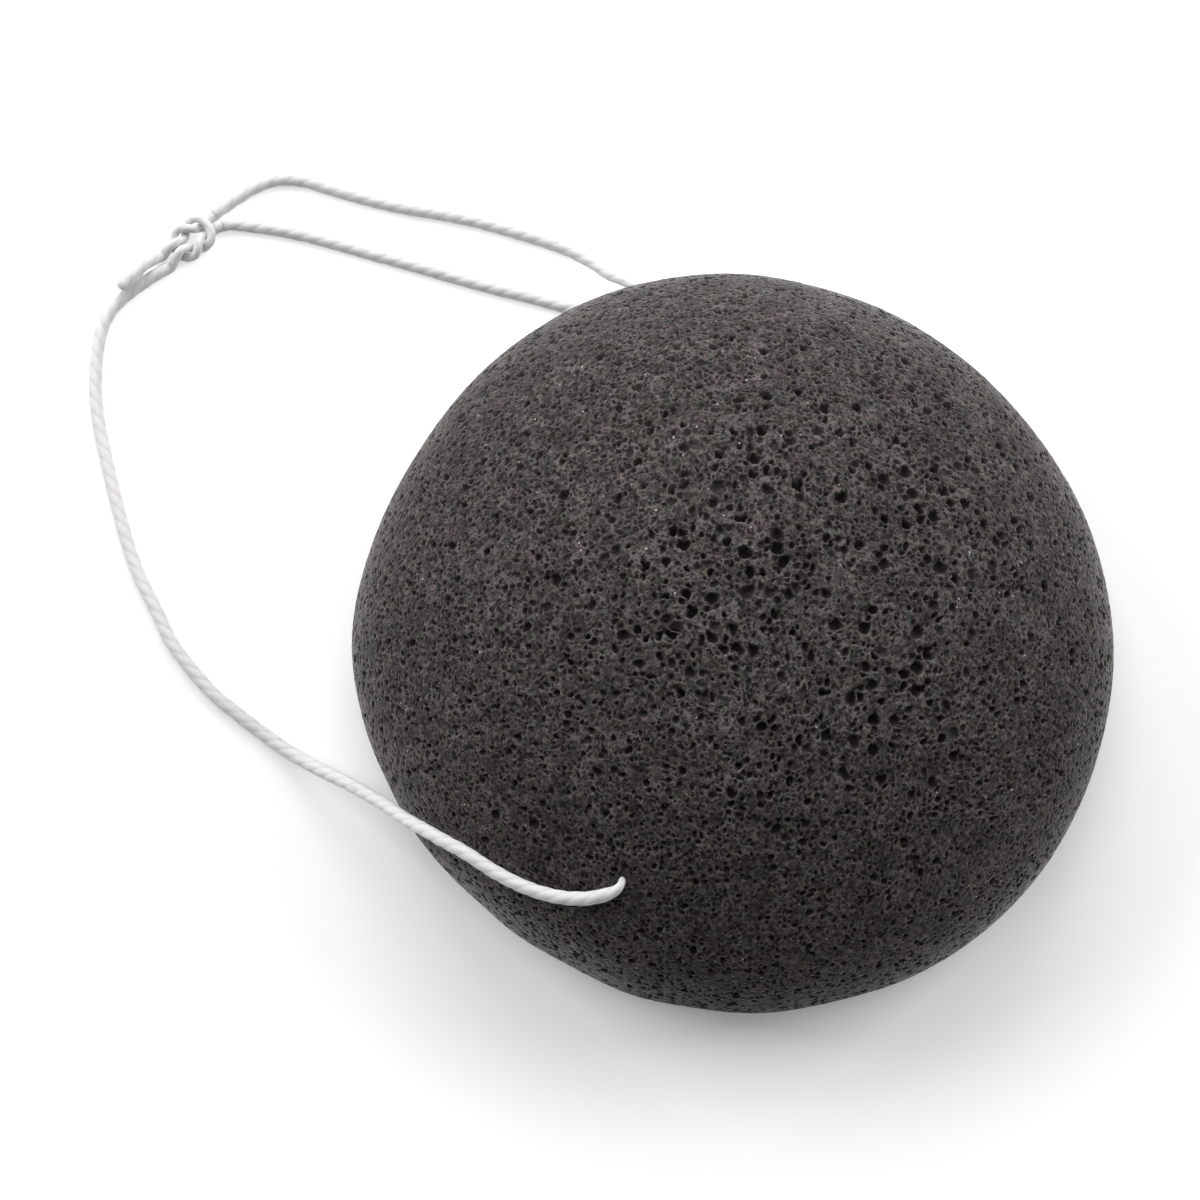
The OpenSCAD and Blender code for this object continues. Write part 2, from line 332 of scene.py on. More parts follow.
def nearest_step(line, place):
    """The step at which a line comes nearest to a place."""
    return int(np.linalg.norm(line - place, axis=1).argmin())


def whole_string(points, bight, tail):
    """One string from end to end: its line, thickness, skin and grooves, and the steps at which it
    goes into its bight and comes out of it. Its pieces are slices of this one skin, so that the twist
    runs on from one to the next."""
    legs = [bight_leg(-bight, bight), bight_leg(bight, bight)]
    line, thick, even = strand_line(np.array(points), legs, np.array(tail))
    skin, groove = string_skin(line, thick, even)
    into, out_of = (nearest_step(line, leg[-1] * MM) for leg in legs)
    return line, thick, skin, groove, into, out_of


front_line, front_thick, front_skin, front_groove, front_in, _ = whole_string(
    FRONT_POINTS, 1, TAIL_SHORT_POINTS)
back_line, back_thick, back_skin, back_groove, back_in, back_out = whole_string(
    BACK_POINTS, -1, TAIL_LONG_POINTS)

string_front = add_tube("string_front_stretch", front_skin[:front_in + 1], front_groove[:front_in + 1])
knot_front = add_tube("string_front_bight", front_skin[front_in:], front_groove[front_in:])
string_back = add_tube("string_back_stretch", back_skin[:back_in + 1], back_groove[:back_in + 1])
knot_back = add_tube("string_back_bight", back_skin[back_in:back_out + 1],
                     back_groove[back_in:back_out + 1])
tail_long = add_tube("string_tail_end", back_skin[back_out:], back_groove[back_out:])


# Loose fibres

FIBRE_D = 0.022 * MM
FIBRE_STEPS = 5
FIBRE_SIDES = 3
# Share of its thickness that a fibre keeps at its free end
FIBRE_TIP = 0.35
# Least length of a fibre along the string, and how much longer it may be
FIBRE_LEAST = 0.5 * MM
FIBRE_MORE = 1.3 * MM
# Share of the string's thickness at which it starts, and of its own length that it leans aside
FIBRE_ROOT = 0.45
FIBRE_LEAN = 0.6
# Least share of half its length that it stands out, how much more it may be, and how far its bow goes
RISE_LEAST = 0.15
RISE_MORE = 0.5
BOW_SHARE = 0.8
# The same for the fibres in a cut end: lengths, how deep they start, and how wide and far they spread
TUFT_LEAST = 0.4 * MM
TUFT_MORE = 0.9 * MM
TUFT_DEPTH = 0.2 * MM
TUFT_WIDTH = 0.35
TUFT_SPREAD = 0.6
# Fibres on the front string and on the back string, each with their salt, and those in a cut end
FRONT_FIBRES = (520, 200)
BACK_FIBRES = (360, 210)
TUFT_FIBRES = 70
TUFT_SALTS = (220, 230)
# Steps of a string's line at its start that the foam hides
HIDDEN_STEPS = 20
# A way close to straight up, along which no fibre runs
NEAR_UP = UP + 0.01


def fibre_random(count, salt):
    """A number from 0 to 1 for each of the fibres."""
    return lattice_random(np.stack([np.arange(count)] * 3, -1), salt)


def loose_fibres(line, thick, count, salt):
    """Fibres that stand off the string: each starts in its skin at a random place, leans along it
    and bends back, so that its middle stands out by a random part of the string's width."""
    way, side, above = across(line)
    at = (fibre_random(count, salt) * (len(line) - 2)).astype(int) + 1
    turn = fibre_random(count, salt + 1) * 2 * math.pi
    out = np.cos(turn)[:, None] * side[at] + np.sin(turn)[:, None] * above[at]
    round_it = np.cross(way[at], out)
    length = FIBRE_LEAST + FIBRE_MORE * fibre_random(count, salt + 2) ** 2
    lean = FIBRE_LEAN * (2 * fibre_random(count, salt + 3) - 1)
    rise = length / 2 * (RISE_LEAST + RISE_MORE * fibre_random(count, salt + 4))
    share = np.linspace(0, 1, FIBRE_STEPS)[None, :, None]
    bow = np.sin(math.pi * BOW_SHARE * share)
    start = line[at] + out * (thick[at] * FIBRE_ROOT)[:, None]
    return (start[:, None] + share * (way[at] * length[:, None])[:, None]
            + share**1.5 * (round_it * (lean * length)[:, None])[:, None]
            + bow * (out * rise[:, None])[:, None])


def end_tuft(line, salt):
    """Fibres that spread out of a cut end, each from a random place in the end's disc."""
    way, side, above = across(line)
    turn = fibre_random(TUFT_FIBRES, salt) * 2 * math.pi
    reach = np.sqrt(fibre_random(TUFT_FIBRES, salt + 1)) * STRING_D * TUFT_WIDTH
    out = np.cos(turn)[:, None] * side[-1] + np.sin(turn)[:, None] * above[-1]
    length = TUFT_LEAST + TUFT_MORE * fibre_random(TUFT_FIBRES, salt + 2)
    spread = TUFT_SPREAD * fibre_random(TUFT_FIBRES, salt + 3)
    share = np.linspace(0, 1, FIBRE_STEPS)[None, :, None]
    start = line[-1] - way[-1] * TUFT_DEPTH + out * reach[:, None]
    return (start[:, None] + share * (way[-1] * length[:, None])[:, None]
            + share**2 * (out * (spread * length)[:, None])[:, None])


def add_fibres(name, paths):
    """Thin tubes along the paths that narrow towards their free ends, none below the ground."""
    along = unit(np.gradient(paths, axis=1))
    side = unit(np.cross(along, NEAR_UP))
    above = np.cross(side, along)
    turn = np.arange(FIBRE_SIDES) / FIBRE_SIDES * 2 * math.pi
    ring = (np.cos(turn)[:, None] * side[:, :, None] + np.sin(turn)[:, None] * above[:, :, None])
    narrow = np.linspace(1, FIBRE_TIP, FIBRE_STEPS)[None, :, None, None]
    places = paths[:, :, None] + ring * narrow * FIBRE_D / 2
    places[..., 2] = np.maximum(places[..., 2], FIBRE_D / 4)
    count = len(paths)
    ids = np.arange(places[..., 0].size).reshape(count, FIBRE_STEPS, FIBRE_SIDES)
    nexts = np.roll(ids, -1, axis=2)
    walls = np.stack([ids[:, :-1], ids[:, 1:], nexts[:, 1:], nexts[:, :-1]], -1).reshape(-1, 4)
    ends = np.concatenate([ids[:, 0], ids[:, -1, ::-1]])
    piece = add_mesh(name, places.reshape(-1, 3), [walls, ends])
    add_attribute(piece, "groove", np.zeros(places[..., 0].size))
    return piece


fuzz = add_fibres("string_fibres", np.concatenate([
    loose_fibres(front_line[HIDDEN_STEPS:], front_thick[HIDDEN_STEPS:], *FRONT_FIBRES),
    loose_fibres(back_line[HIDDEN_STEPS:], back_thick[HIDDEN_STEPS:], *BACK_FIBRES),
    end_tuft(front_line, TUFT_SALTS[0]),
    end_tuft(back_line, TUFT_SALTS[1]),
]))
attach(fuzz, "root")


# Which solids the string's pieces stand for, which are hidden

STRING_PIECES = (
    (string_front, ("string_front",)),
    (knot_front, ("knot_front_bight", "string_tail_short")),
    (string_back, ("string_back",)),
    (knot_back, ("knot_back_bight",)),
    (tail_long, ("string_tail_long",)),
)
for piece, stood_for in STRING_PIECES:
    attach(piece, "root")
    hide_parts(*stood_for)


# Sponge

PUFF_R = 40 * MM
PUFF_H = 36 * MM
BELLY_H = 7 * MM
RIM_TUCK = 4 * MM
SHOULDER_R = 20 * MM
# Radius of the soft edge between the rolled rim and the flat base
BASE_EDGE_R = 2 * MM

RIM_R = (RIM_TUCK**2 + BELLY_H**2) / (2 * RIM_TUCK)
DOME_H = PUFF_H - BELLY_H
CROWN_R = (PUFF_R**2 + DOME_H**2 - 2 * PUFF_R * SHOULDER_R) / (2 * (DOME_H - SHOULDER_R))
CROWN_Z = PUFF_H - CROWN_R
EDGE_OUT = math.sqrt((RIM_R - BASE_EDGE_R) ** 2 - (BELLY_H - BASE_EDGE_R) ** 2)

# The profile's arcs from the crown down: centre's radius, centre's height, arc's radius
ARCS = np.array([
    [0, CROWN_Z, CROWN_R],
    [PUFF_R - SHOULDER_R, BELLY_H, SHOULDER_R],
    [PUFF_R - RIM_R, BELLY_H, RIM_R],
    [PUFF_R - RIM_R + EDGE_OUT, BASE_EDGE_R, BASE_EDGE_R],
])
# Lean of the outward normal from straight up where each arc begins, and where the last one ends
LEANS = np.array([
    0,
    math.atan2(PUFF_R - SHOULDER_R, BELLY_H - CROWN_Z),
    math.pi / 2,
    math.pi / 2 + math.atan2(BELLY_H - BASE_EDGE_R, EDGE_OUT),
    math.pi,
])
# Length along the profile at each of those places
ALONG = np.concatenate([[0], np.cumsum(ARCS[:, 2] * np.diff(LEANS))])
CROWN_LENGTH = ALONG[1]
PROFILE_LENGTH = ALONG[4]
BASE_R = ARCS[3, 0]

# Rings in the square patch on the crown, rows in the band below it, rings in the flat base
CROWN_RINGS = 260
BAND_ROWS = 180
BASE_RINGS = CROWN_RINGS // 2


def puff_profile(along):
    """Radius, height and the normal's lean at lengths along the profile. On each arc the lean grows
    evenly with the length, and the place is the arc's centre plus its radius along the normal."""
    lean = np.interp(along, ALONG, LEANS)
    arc = np.clip(np.searchsorted(LEANS, lean, side="right") - 1, 0, len(ARCS) - 1)
    centre_r, centre_z, radius = ARCS[arc].T
    return centre_r + radius * np.sin(lean), centre_z + radius * np.cos(lean), lean


def square_rings(rings):
    """A square grid's steps from its middle, its rings and their directions. A step (i, j) lies on
    ring max(|i|, |j|), and its direction grows evenly along the ring's four sides."""
    steps = np.arange(-rings, rings + 1)
    i, j = (g.ravel().astype(float) for g in np.meshgrid(steps, steps, indexing="ij"))
    ring = np.maximum(abs(i), abs(j))
    safe_i, safe_j = np.where(i == 0, 1, i), np.where(j == 0, 1, j)
    quarter = math.pi / 4
    turn = np.where(
        abs(i) >= abs(j),
        quarter * j / safe_i + np.where(i < 0, math.pi, 0),
        2 * quarter - quarter * i / safe_j + np.where(j < 0, math.pi, 0),
    )
    return np.stack([i, j], -1), ring, turn


def square_faces(rings):
    """The square grid's faces, turning left as seen from above."""
    side = 2 * rings + 1
    corner = (np.arange(side - 1)[:, None] * side + np.arange(side - 1)).ravel()
    return np.stack([corner, corner + side, corner + side + 1, corner + 1], -1)


def square_edge(rings):
    """The grid's outermost vertices in order, leftwards from direction -45 degrees."""
    side = 2 * rings + 1
    up = np.arange(2 * rings)
    return np.concatenate([
        (side - 1) * side + up,
        (side - 1 - up) * side + side - 1,
        side - 1 - up,
        up * side,
    ])


# Lumps in the outline: direction round the sponge in degrees, height of the lump, its width
LUMPS = (
    (352, 0.25 * MM, 14), (318, 0.35 * MM, 22), (283, -0.45 * MM, 12), (263, -0.6 * MM, 9),
    (241, -1.2 * MM, 15), (227, -0.45 * MM, 7), (218, -0.65 * MM, 10), (203, -0.25 * MM, 6),
    (180, 0.65 * MM, 12), (148, -0.45 * MM, 13), (109, 0.75 * MM, 17), (88, 0.35 * MM, 12),
    (42, -0.75 * MM, 18),
)


def outline_lump(turn):
    """The sum of the lumps, each a bell over its width round the sponge."""
    total = np.zeros_like(turn)
    for place, height, width in LUMPS:
        away = 1 - np.cos(turn - math.radians(place))
        total += height * np.exp(-away / (1 - math.cos(math.radians(width))))
    return total


# Bubbles in the foam, from the largest: size of the lattice's cells, then least radius, greatest
# radius and the share of the cells that hold one, near the middle and again at the rim
BUBBLES = (
    (1.65 * MM, (0.46 * MM, 0.9 * MM, 0.88), (0.34 * MM, 0.6 * MM, 0.5)),
    (1.05 * MM, (0.3 * MM, 0.52 * MM, 0.9), (0.28 * MM, 0.46 * MM, 0.9)),
    (0.78 * MM, (0.2 * MM, 0.32 * MM, 0.66), (0.2 * MM, 0.34 * MM, 0.9)),
)
# How much more often the smaller bubbles come, as a power of a random share
BUBBLE_BIAS = 1.3
# Where the bubbles are largest, and the ways out from there at which they begin and end to change
CROWD_MIDDLE = np.array([6, 1]) * MM
CROWD_REACH = (12 * MM, 36 * MM)
# Waves in which the bubbles are more and less crowded, and what these add to the share of cells
CROWD_WAVES = (4 * MM, 5 * MM, 4.5 * MM, 6 * MM)
CROWD_UNEVEN = 0.15
# Thickness of the wall that stays between two bubbles that touch
BUBBLE_WALL = 0.06 * MM
# Ways from the circle where the foam meets the ground between which the pores reach their depth
CONTACT_CLEAR = (0.3 * MM, 1.6 * MM)
# Depth past which a pore isn't sunk, and width of the rounded slope inside its edge
DEEPEST_PORE = 1.3 * MM
PORE_SLOPE = 0.14 * MM
# Noise that keeps the pores from being round: its size, how far it moves them, and its first salt
WARP_SIZE = 0.8 * MM
WARP_BY = 0.2 * MM
WARP_SALT = 70
# Distance that stands for no bubble near by
FAR = 1 * MM


def crowding(places):
    """How far out towards the rim each place is, from 0 to 1, and what is added there to the share of
    cells that hold a bubble: the product of two sine waves, the first bent by a third."""
    away = np.linalg.norm(places[:, :2] - CROWD_MIDDLE, axis=-1)
    x, y, z = places.T
    waves = (np.sin(x / CROWD_WAVES[0] + np.sin(y / CROWD_WAVES[1]))
             * np.sin(y / CROWD_WAVES[2] + z / CROWD_WAVES[3]))
    return ramp(away, *CROWD_REACH), CROWD_UNEVEN * waves


def pores(places, inwards):
    """Each place's distance outside the nearest bubble's edge, the depth of the opening there, and
    how deep that bubble's centre lies as a share of its radius. A bubble is a ball at a random place
    in its cell of a lattice. Inside one, the opening goes inwards to the ball's far wall: the way to
    the centre along the inward direction, plus the half chord there. Halfway between two bubbles a
    wall stays. The places are moved by noise first, so that the pores aren't round."""
    moved = places + WARP_BY * np.stack(
        [smooth_noise(places, WARP_SIZE, WARP_SALT + k) for k in range(3)], -1)
    nearest = np.full(len(places), FAR)
    second = np.full(len(places), FAR)
    depth = np.zeros(len(places))
    sunk = np.zeros(len(places))
    for number, (cell, middle, rim) in enumerate(BUBBLES):
        salt = 10 * number + 1
        home = np.floor(moved / cell)
        for step in np.ndindex(3, 3, 3):
            cells = home + (np.array(step) - 1)
            shift = np.stack([lattice_random(cells, salt + k) for k in range(3)], -1)
            outer, uneven = crowding(cells * cell)
            least, most, share = (a + (b - a) * outer for a, b in zip(middle, rim))
            radius = least + (most - least) * lattice_random(cells, salt + 3) ** BUBBLE_BIAS
            away = (cells + shift) * cell - moved
            square = (away * away).sum(-1)
            ahead = (away * inwards).sum(-1)
            kept = lattice_random(cells, salt + 4) < share + uneven
            outside = np.where(kept, np.sqrt(square) - radius, FAR)
            half_chord = np.sqrt(np.maximum(radius * radius - square + ahead * ahead, 0))
            depth = np.maximum(depth, np.where(outside < 0, ahead + half_chord, 0))
            sunk = np.where(outside < nearest, ahead / radius, sunk)
            second = np.minimum(np.maximum(outside, nearest), second)
            nearest = np.minimum(outside, nearest)
    edge = np.maximum(nearest, BUBBLE_WALL / 2 - (second - nearest) / 2)
    return edge, np.minimum(depth, DEEPEST_PORE), sunk


# Where the string goes into the foam, and its way out there. Round it the foam is dipped by
# MOUTH_DEPTH up to the first radius and not at all past the second, no farther along it than
# MOUTH_REACH
MOUTHS = np.array([FRONT_POINTS[0], BACK_POINTS[0]]) * MM
MOUTH_WAYS = unit(np.array([FRONT_POINTS[1], BACK_POINTS[1]]) * MM - MOUTHS)
MOUTH_DEPTH = 0.12 * MM
MOUTH_RADII = (0.5 * MM, 0.85 * MM)
MOUTH_REACH = 5 * MM


def mouth_dimples(places):
    """The foam's dip round each stretch of string that comes out of it, by the distance from the
    string's line."""
    dip = np.zeros(len(places))
    for mouth, way in zip(MOUTHS, MOUTH_WAYS):
        from_mouth = places - mouth
        ahead = from_mouth @ way
        aside = np.linalg.norm(from_mouth - ahead[:, None] * way, axis=-1)
        dip += MOUTH_DEPTH * (1 - ramp(aside, *MOUTH_RADII)) * (abs(ahead) < MOUTH_REACH)
    return dip


# Powers by which the outline's lumps fade from the belly up the dome and down under the rim
LUMP_FADE = (6, 0.5)
# Noise on the foam's skin, low swellings and fine roughness: height, size and salt
SWELL_NOISE = (0.12 * MM, 9 * MM, 90)
ROUGH_NOISE = (0.03 * MM, 0.35 * MM, 91)
# Places of the dome's and the base's squares on the baked picture: middle and half size
DOME_MIDDLE, DOME_HALF = np.array([0.345, 0.5]), np.array([0.335, 0.49])
BASE_MIDDLE, BASE_HALF = np.array([0.84, 0.26]), np.array([0.15, 0.25])


def puff_faces(patch_count, edge):
    """The faces of the crown's patch, the band below it, the base's patch and the seam between those
    two, with the band's last row and the base's first vertex. In the seam, two steps of the band
    meet one of the base."""
    band_rows = patch_count + np.arange(BAND_ROWS * len(edge)).reshape(BAND_ROWS, -1)
    all_rows = np.concatenate([edge[None], band_rows])
    band = np.concatenate([joined_rows(a, b) for a, b in zip(all_rows[:-1], all_rows[1:])])
    base_start = patch_count + band_rows.size
    base_faces = base_start + square_faces(BASE_RINGS)[:, ::-1]
    outer = band_rows[-1]
    inner = base_start + square_edge(BASE_RINGS)
    even, odd = outer[0::2], outer[1::2]
    seam = np.concatenate([
        np.stack([even, inner, odd], -1),
        np.stack([inner, np.roll(inner, -1), odd], -1),
        np.stack([odd, np.roll(inner, -1), np.roll(even, -1)], -1),
    ])
    return [square_faces(CROWN_RINGS), band, base_faces, seam], outer, base_start


def puff_uv(faces, share, dome_ways, edge_ways, outer, base_start, base_steps):
    """Places on the baked picture for each corner of each face. On the dome's square a place lies
    its share of the profile out from the middle, on its own way. On the base's it lies as its step
    does, with the band's last row at the edge."""
    base_uv = np.zeros((base_start + len(base_steps), 2))
    base_uv[base_start:] = base_steps / (BASE_RINGS + 1)
    base_uv[outer] = edge_ways
    dome_uv = np.concatenate([dome_ways * share[:, None], np.zeros((len(base_steps), 2))])
    on_dome = DOME_MIDDLE + DOME_HALF * dome_uv
    on_base = BASE_MIDDLE + BASE_HALF * base_uv
    return np.concatenate([on_dome[f.ravel()] for f in faces[:2]]
                          + [on_base[f.ravel()] for f in faces[2:]])


def add_sponge():
    """The foam's whole skin as one closed surface: a square patch bent over the crown, a band of
    rows below it down to the base, and a square patch with half as many steps across the base.
    Lumps and noise move it along its normals, and the pores sink it."""
    steps, ring, turn = square_rings(CROWN_RINGS)
    patch_along = ring / CROWN_RINGS * CROWN_LENGTH
    edge = square_edge(CROWN_RINGS)
    rows = np.arange(1, BAND_ROWS + 1) / BAND_ROWS
    band_along = np.repeat(CROWN_LENGTH + rows * (PROFILE_LENGTH - CROWN_LENGTH), len(edge))
    band_turn = np.tile(turn[edge], BAND_ROWS)
    base_steps, base_ring, base_turn = square_rings(BASE_RINGS)
    base_r = base_ring / (BASE_RINGS + 1) * BASE_R

    along = np.concatenate([patch_along, band_along])
    radius, height, lean = puff_profile(along)
    turn = np.concatenate([turn, band_turn, base_turn])
    radius = np.concatenate([radius, base_r])
    height = np.concatenate([height, np.zeros(len(base_r))])
    lean = np.concatenate([lean, np.full(len(base_r), math.pi)])
    outwards = np.stack([np.sin(lean) * np.cos(turn), np.sin(lean) * np.sin(turn), np.cos(lean)], -1)
    places = np.stack([radius * np.cos(turn), radius * np.sin(turn), height], -1)

    dome_share = np.sin(lean.clip(0, math.pi / 2)) ** LUMP_FADE[0]
    rim_share = np.sin(lean.clip(math.pi / 2)) ** LUMP_FADE[1]
    swell, swell_size, swell_salt = SWELL_NOISE
    lump = outline_lump(turn) * dome_share * rim_share
    lump += swell * smooth_noise(places, swell_size, swell_salt)
    edge_gap, depth, sunk = pores(places, -outwards)
    from_contact = np.hypot(radius - BASE_R, height)
    depth = depth * ramp(-edge_gap, 0, PORE_SLOPE) * ramp(from_contact, *CONTACT_CLEAR)
    rough_height, rough_size, rough_salt = ROUGH_NOISE
    rough = rough_height * smooth_noise(places, rough_size, rough_salt)
    dip = mouth_dimples(places)
    places = places + outwards * (lump + rough - np.maximum(depth, dip))[:, None]
    places[:, 2] = np.maximum(places[:, 2], GROUND_CLEAR)

    faces, outer, base_start = puff_faces(len(steps), edge)
    piece = add_mesh("konjac_puff", places, faces)
    add_attribute(piece, "edge_gap", edge_gap / MM)
    add_attribute(piece, "sunk", sunk)
    edge_ways = steps[edge] / CROWN_RINGS
    dome_ways = np.concatenate([steps / np.maximum(ring, 1)[:, None],
                                np.tile(edge_ways, (BAND_ROWS, 1))])
    add_uv(piece, "OFBake", puff_uv(faces, along / PROFILE_LENGTH, dome_ways, edge_ways, outer,
                                    base_start, base_steps))
    return piece


sponge = add_sponge()
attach(sponge, "root")
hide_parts("sponge_body")


# Materials

def add_node(tree, kind, inputs=None, **settings):
    """A shader node with its settings and its inputs' values or links."""
    node = tree.nodes.new(kind)
    for name, value in settings.items():
        setattr(node, name, value)
    for name, value in (inputs or {}).items():
        socket = node.inputs[name]
        if isinstance(value, bpy.types.NodeSocket):
            tree.links.new(value, socket)
        else:
            socket.default_value = value
    return node


def math_node(tree, operation, first, second):
    """What one operation, such as MULTIPLY, makes of two numbers."""
    return add_node(tree, "ShaderNodeMath", {0: first, 1: second}, operation=operation).outputs[0]


def between(tree, value, low, high, to_low=0.0, to_high=1.0):
    """The value carried smoothly from one range to another."""
    return add_node(
        tree, "ShaderNodeMapRange",
        {"Value": value, "From Min": low, "From Max": high, "To Min": to_low, "To Max": to_high},
        interpolation_type="SMOOTHSTEP").outputs["Result"]


def mixed(tree, share, first, second):
    """A colour between two, by a share. Mix keeps its colours in sockets 6 and 7, and puts out 2."""
    return add_node(tree, "ShaderNodeMix", {0: share, 6: first, 7: second}, data_type="RGBA").outputs[2]


def new_material(name, surface):
    """A material with its Principled BSDF, which takes the surface's plain values, and the piece's
    own coordinates."""
    material = bpy.data.materials.new(name)
    material.use_nodes = True
    tree = material.node_tree
    shader = tree.nodes["Principled BSDF"]
    for quality, value in surface.items():
        shader.inputs[quality].default_value = value
    where = add_node(tree, "ShaderNodeTexCoord").outputs["Object"]
    return material, tree, shader, where


def add_relief(tree, shader, height, relief):
    """Bumps that follow a height, with their strength and the length that a height of 1 stands for."""
    bump = add_node(tree, "ShaderNodeBump", {"Height": height, **relief})
    tree.links.new(bump.outputs["Normal"], shader.inputs["Normal"])


# Detail and roughness of the noise in the patches
MOTTLE_DETAIL = 4.0
MOTTLE_ROUGHNESS = 0.55


def mottle_group():
    """Soft uneven patches: noise about 1, which a material multiplies its colour by."""
    group = bpy.data.node_groups.new("soft_mottle", "ShaderNodeTree")
    group.interface.new_socket("Vector", in_out="INPUT", socket_type="NodeSocketVector")
    group.interface.new_socket("Scale", in_out="INPUT", socket_type="NodeSocketFloat")
    group.interface.new_socket("Strength", in_out="INPUT", socket_type="NodeSocketFloat")
    group.interface.new_socket("Value", in_out="OUTPUT", socket_type="NodeSocketFloat")
    entry, leave = group.nodes.new("NodeGroupInput"), group.nodes.new("NodeGroupOutput")
    noise = add_node(group, "ShaderNodeTexNoise",
                     {"Vector": entry.outputs["Vector"], "Scale": entry.outputs["Scale"],
                      "Detail": MOTTLE_DETAIL, "Roughness": MOTTLE_ROUGHNESS})
    centred = math_node(group, "SUBTRACT", noise.outputs["Fac"], 0.5)
    scaled = math_node(group, "MULTIPLY", centred, entry.outputs["Strength"])
    group.links.new(math_node(group, "ADD", scaled, 1.0), leave.inputs["Value"])
    return group


soft_mottle = mottle_group()


def mottle(tree, where, scale, strength):
    """The soft patches at a scale and strength."""
    return add_node(tree, "ShaderNodeGroup", {"Vector": where, "Scale": scale, "Strength": strength},
                    node_tree=soft_mottle).outputs["Value"]


def scaled_colour(tree, colour, share):
    """A colour multiplied by a number, or by another colour channel by channel."""
    return add_node(tree, "ShaderNodeVectorMath", {0: colour, 1: share}, operation="MULTIPLY").outputs[0]


# Colours of the foam: its skin in darker and lighter patches, the webs between its cells, the painted
# shade inside a deep pore, and a glint
FOAM_SKIN = (0.0318, 0.028, 0.0269, 1)
FOAM_LIT = (0.0714, 0.063, 0.0602, 1)
FOAM_WEB = (0.15, 0.132, 0.127, 1)
FOAM_PORE_SHADE = (0.03, 0.026, 0.0245, 1)
FOAM_GLINT = (0.5, 0.5, 0.52, 1)
FOAM_SURFACE = {"Roughness": 0.9, "Specular IOR Level": 0.12, "Sheen Weight": 0.6,
                "Sheen Roughness": 0.3}
FOAM_RELIEF = {"Strength": 0.6, "Distance": 0.1 * MM}
# Small cells and fine cells, whose middles are painted with the shade of pores too small to be sunk:
# how many to the metre, the ways in from a cell's edge between which the painted shade begins and is
# whole, as shares of its size, the random numbers between which a cell turns from plain to shaded, and
# how dark the painted shade is in the darkest
SMALL_CELLS = (1800, (0.04, 0.2), (0.4, 0.85), 0.72)
FINE_CELLS = (3700, (0.02, 0.3), (0.3, 1.0), 0.52)
# Ways in from a small cell's edge between which the bright web on it begins and is whole
WEB_EDGE = (0.19, 0.02)
# How far the cells' edges wander, and the wobbles to the metre
CELL_WANDER = 0.3 * MM
CELL_WOBBLES = 2600
# Millimetres outside a bubble's edge between which the painted shade inside a pore begins and is
# whole, and the same for its bright rim, from outside and from within
PORE_EDGE = (0.02, -0.1)
RIM_OUTSIDE = (0.16, 0.03)
RIM_INSIDE = (-0.08, 0.0)
# How deep a bubble's centre lies in a shallow and in a deep pore, and how much painted shade these get
# inside
PORE_SUNK = (-0.9, 0.1)
PORE_SHADE_SHARES = (0.2, 1.0)
# Patches of lighter skin, of bright pore rims and of bright webs: how many to the metre, and the
# values of noise between which one begins and is whole
SKIN_PATCHES = (1900, 0.36, 0.64)
RIM_PATCHES = (1700, 0.38, 0.62)
WEB_PATCHES = (1500, 0.42, 0.62)
# Patches of hue to the metre, and how far the colour leans to one hue or another
HUE_PATCHES = 900
TINT_SHARE = 0.35
# Glints to the metre, the ways from a glint's middle between which it begins and is whole, as shares
# of its cell, the random numbers between which a cell has one, and the patches that they cluster in
GLINTS = 1000
GLINT_EDGE = (0.13, 0.06)
GLINT_KEPT = (0.5, 0.6)
GLINT_PATCHES = (260, 0.46, 0.57)
# Coarse and fine mottle: patches to the metre and strength
COARSE_MOTTLE = (260, 1.5)
FINE_MOTTLE = (850, 0.7)


def noise_value(tree, where, scale, low, high):
    """Patches of 0 and 1 with soft edges: noise carried from low and high."""
    noise = add_node(tree, "ShaderNodeTexNoise", {"Vector": where, "Scale": scale, "Detail": 2.0})
    return between(tree, noise.outputs["Fac"], low, high)


def times(tree, *shares):
    """The product of all the shares."""
    product = shares[0]
    for share in shares[1:]:
        product = math_node(tree, "MULTIPLY", product, share)
    return product


def foam_cells(tree, where, scale, slope, kept, dark):
    """How much of its colour the foam keeps under the painted shade of small pores in its cells, from 1
    at their edges down to 1 - dark in the middle of the darkest, and each place's distance to its
    cell's edge in shares of the cell's size."""
    edge = add_node(tree, "ShaderNodeTexVoronoi", {"Vector": where, "Scale": scale},
                    feature="DISTANCE_TO_EDGE").outputs["Distance"]
    cell = add_node(tree, "ShaderNodeTexVoronoi", {"Vector": where, "Scale": scale})
    number = add_node(tree, "ShaderNodeSeparateColor", {"Color": cell.outputs["Color"]}).outputs[0]
    shade = times(tree, between(tree, edge, *slope), between(tree, number, *kept), dark)
    return math_node(tree, "SUBTRACT", 1.0, shade), edge


def foam_glints(tree, where):
    """Tiny bright spots in clusters: small balls round the points of some random cells."""
    spot = add_node(tree, "ShaderNodeTexVoronoi", {"Vector": where, "Scale": GLINTS})
    number = add_node(tree, "ShaderNodeSeparateColor", {"Color": spot.outputs["Color"]}).outputs[1]
    return times(tree, between(tree, spot.outputs["Distance"], *GLINT_EDGE),
                 between(tree, number, *GLINT_KEPT), noise_value(tree, where, *GLINT_PATCHES))


